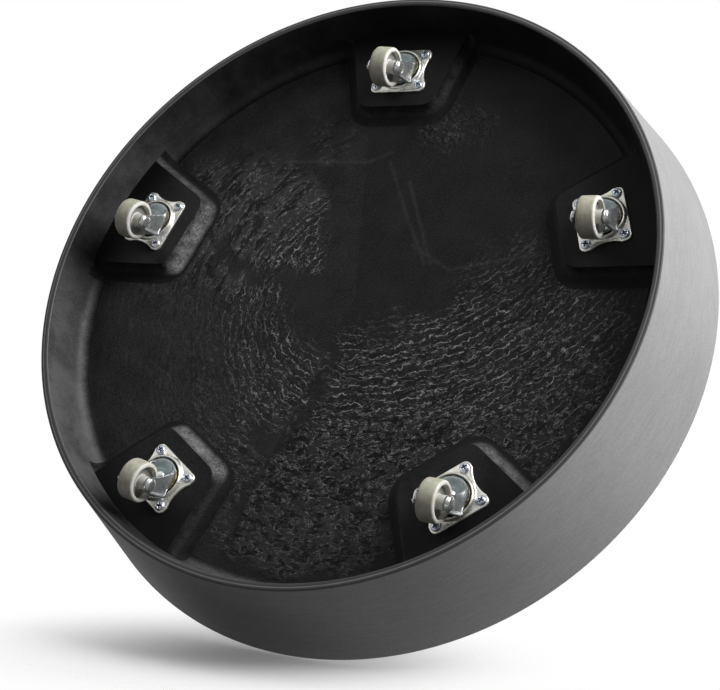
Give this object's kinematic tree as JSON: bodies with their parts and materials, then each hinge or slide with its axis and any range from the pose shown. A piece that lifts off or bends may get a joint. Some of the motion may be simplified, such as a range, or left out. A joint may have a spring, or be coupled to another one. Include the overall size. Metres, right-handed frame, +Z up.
{
  "type": "plant pot caddy",
  "caption": "Round plant pot caddy: a moulded dish tray with a flared wall and an open recess below, rolling on swivel casters screwed to pads.",
  "frame": {"origin": "on the floor under the tray's axis, where the wheels stand", "axes": "+Z up along the tray's axis; +X from the axis towards the first caster"},
  "size_m": [0.5136, 0.5136, 0.1084],
  "materials": {
    "tray_plastic": "charcoal moulded plastic, satin outside and grained underneath",
    "zinc_plate": "bright zinc-plated stamping with a faint yellow tint",
    "zinc_rivet": "bright zinc-plated rivet",
    "bearing_steel": "polished steel balls in amber grease",
    "zinc_fork": "bright zinc-plated stamping",
    "zinc_axle": "bright zinc-plated rivet with domed heads",
    "nylon_wheel": "plain moulded nylon, warm grey",
    "zinc_screw": "blue-passivated zinc"
  },
  "bodies": {
    "tray": {"tray": "tray_plastic", "caster_1_top_plate": "zinc_plate", "caster_1_king_rivet": "zinc_rivet", "caster_1_balls": "bearing_steel", "caster_1_screws": "zinc_screw", "caster_2_top_plate": "zinc_plate", "caster_2_king_rivet": "zinc_rivet", "caster_2_balls": "bearing_steel", "caster_2_screws": "zinc_screw", "caster_3_top_plate": "zinc_plate", "caster_3_king_rivet": "zinc_rivet", "caster_3_balls": "bearing_steel", "caster_3_screws": "zinc_screw", "caster_4_top_plate": "zinc_plate", "caster_4_king_rivet": "zinc_rivet", "caster_4_balls": "bearing_steel", "caster_4_screws": "zinc_screw", "caster_5_top_plate": "zinc_plate", "caster_5_king_rivet": "zinc_rivet", "caster_5_balls": "bearing_steel", "caster_5_screws": "zinc_screw"},
    "caster_1_swivel": {"caster_1_fork": "zinc_fork", "caster_1_axle": "zinc_axle"},
    "caster_1_roller": {"caster_1_wheel": "nylon_wheel"},
    "caster_2_swivel": {"caster_2_fork": "zinc_fork", "caster_2_axle": "zinc_axle"},
    "caster_2_roller": {"caster_2_wheel": "nylon_wheel"},
    "caster_3_swivel": {"caster_3_fork": "zinc_fork", "caster_3_axle": "zinc_axle"},
    "caster_3_roller": {"caster_3_wheel": "nylon_wheel"},
    "caster_4_swivel": {"caster_4_fork": "zinc_fork", "caster_4_axle": "zinc_axle"},
    "caster_4_roller": {"caster_4_wheel": "nylon_wheel"},
    "caster_5_swivel": {"caster_5_fork": "zinc_fork", "caster_5_axle": "zinc_axle"},
    "caster_5_roller": {"caster_5_wheel": "nylon_wheel"}
  },
  "joints": [
    {"name": "caster_1_turn", "type": "hinge", "parent": "tray", "child": "caster_1_swivel", "pos_m": [0.19217, 0, 0.0394], "axis": [0, 0, 1], "continuous": true},
    {"name": "caster_1_roll", "type": "hinge", "parent": "caster_1_swivel", "child": "caster_1_roller", "pos_m": [0.20344, -0.0041, 0.015], "axis": [0.342, 0.9397, 0], "continuous": true},
    {"name": "caster_2_turn", "type": "hinge", "parent": "tray", "child": "caster_2_swivel", "pos_m": [0.05938, 0.18276, 0.0394], "axis": [0, 0, 1], "continuous": true},
    {"name": "caster_2_roll", "type": "hinge", "parent": "caster_2_swivel", "child": "caster_2_roller", "pos_m": [0.07051, 0.17827, 0.015], "axis": [0.3746, 0.9272, 0], "continuous": true},
    {"name": "caster_3_turn", "type": "hinge", "parent": "tray", "child": "caster_3_swivel", "pos_m": [-0.15547, 0.11295, 0.0394], "axis": [0, 0, 1], "continuous": true},
    {"name": "caster_3_roll", "type": "hinge", "parent": "caster_3_swivel", "child": "caster_3_roller", "pos_m": [-0.14497, 0.10714, 0.015], "axis": [0.4848, 0.8746, 0], "continuous": true},
    {"name": "caster_4_turn", "type": "hinge", "parent": "tray", "child": "caster_4_swivel", "pos_m": [-0.15547, -0.11295, 0.0394], "axis": [0, 0, 1], "continuous": true},
    {"name": "caster_4_roll", "type": "hinge", "parent": "caster_4_swivel", "child": "caster_4_roller", "pos_m": [-0.14588, -0.12018, 0.015], "axis": [0.6018, 0.7986, 0], "continuous": true},
    {"name": "caster_5_turn", "type": "hinge", "parent": "tray", "child": "caster_5_swivel", "pos_m": [0.05938, -0.18276, 0.0394], "axis": [0, 0, 1], "continuous": true},
    {"name": "caster_5_roll", "type": "hinge", "parent": "caster_5_swivel", "child": "caster_5_roller", "pos_m": [0.06988, -0.18858, 0.015], "axis": [0.4848, 0.8746, 0], "continuous": true}
  ]
}
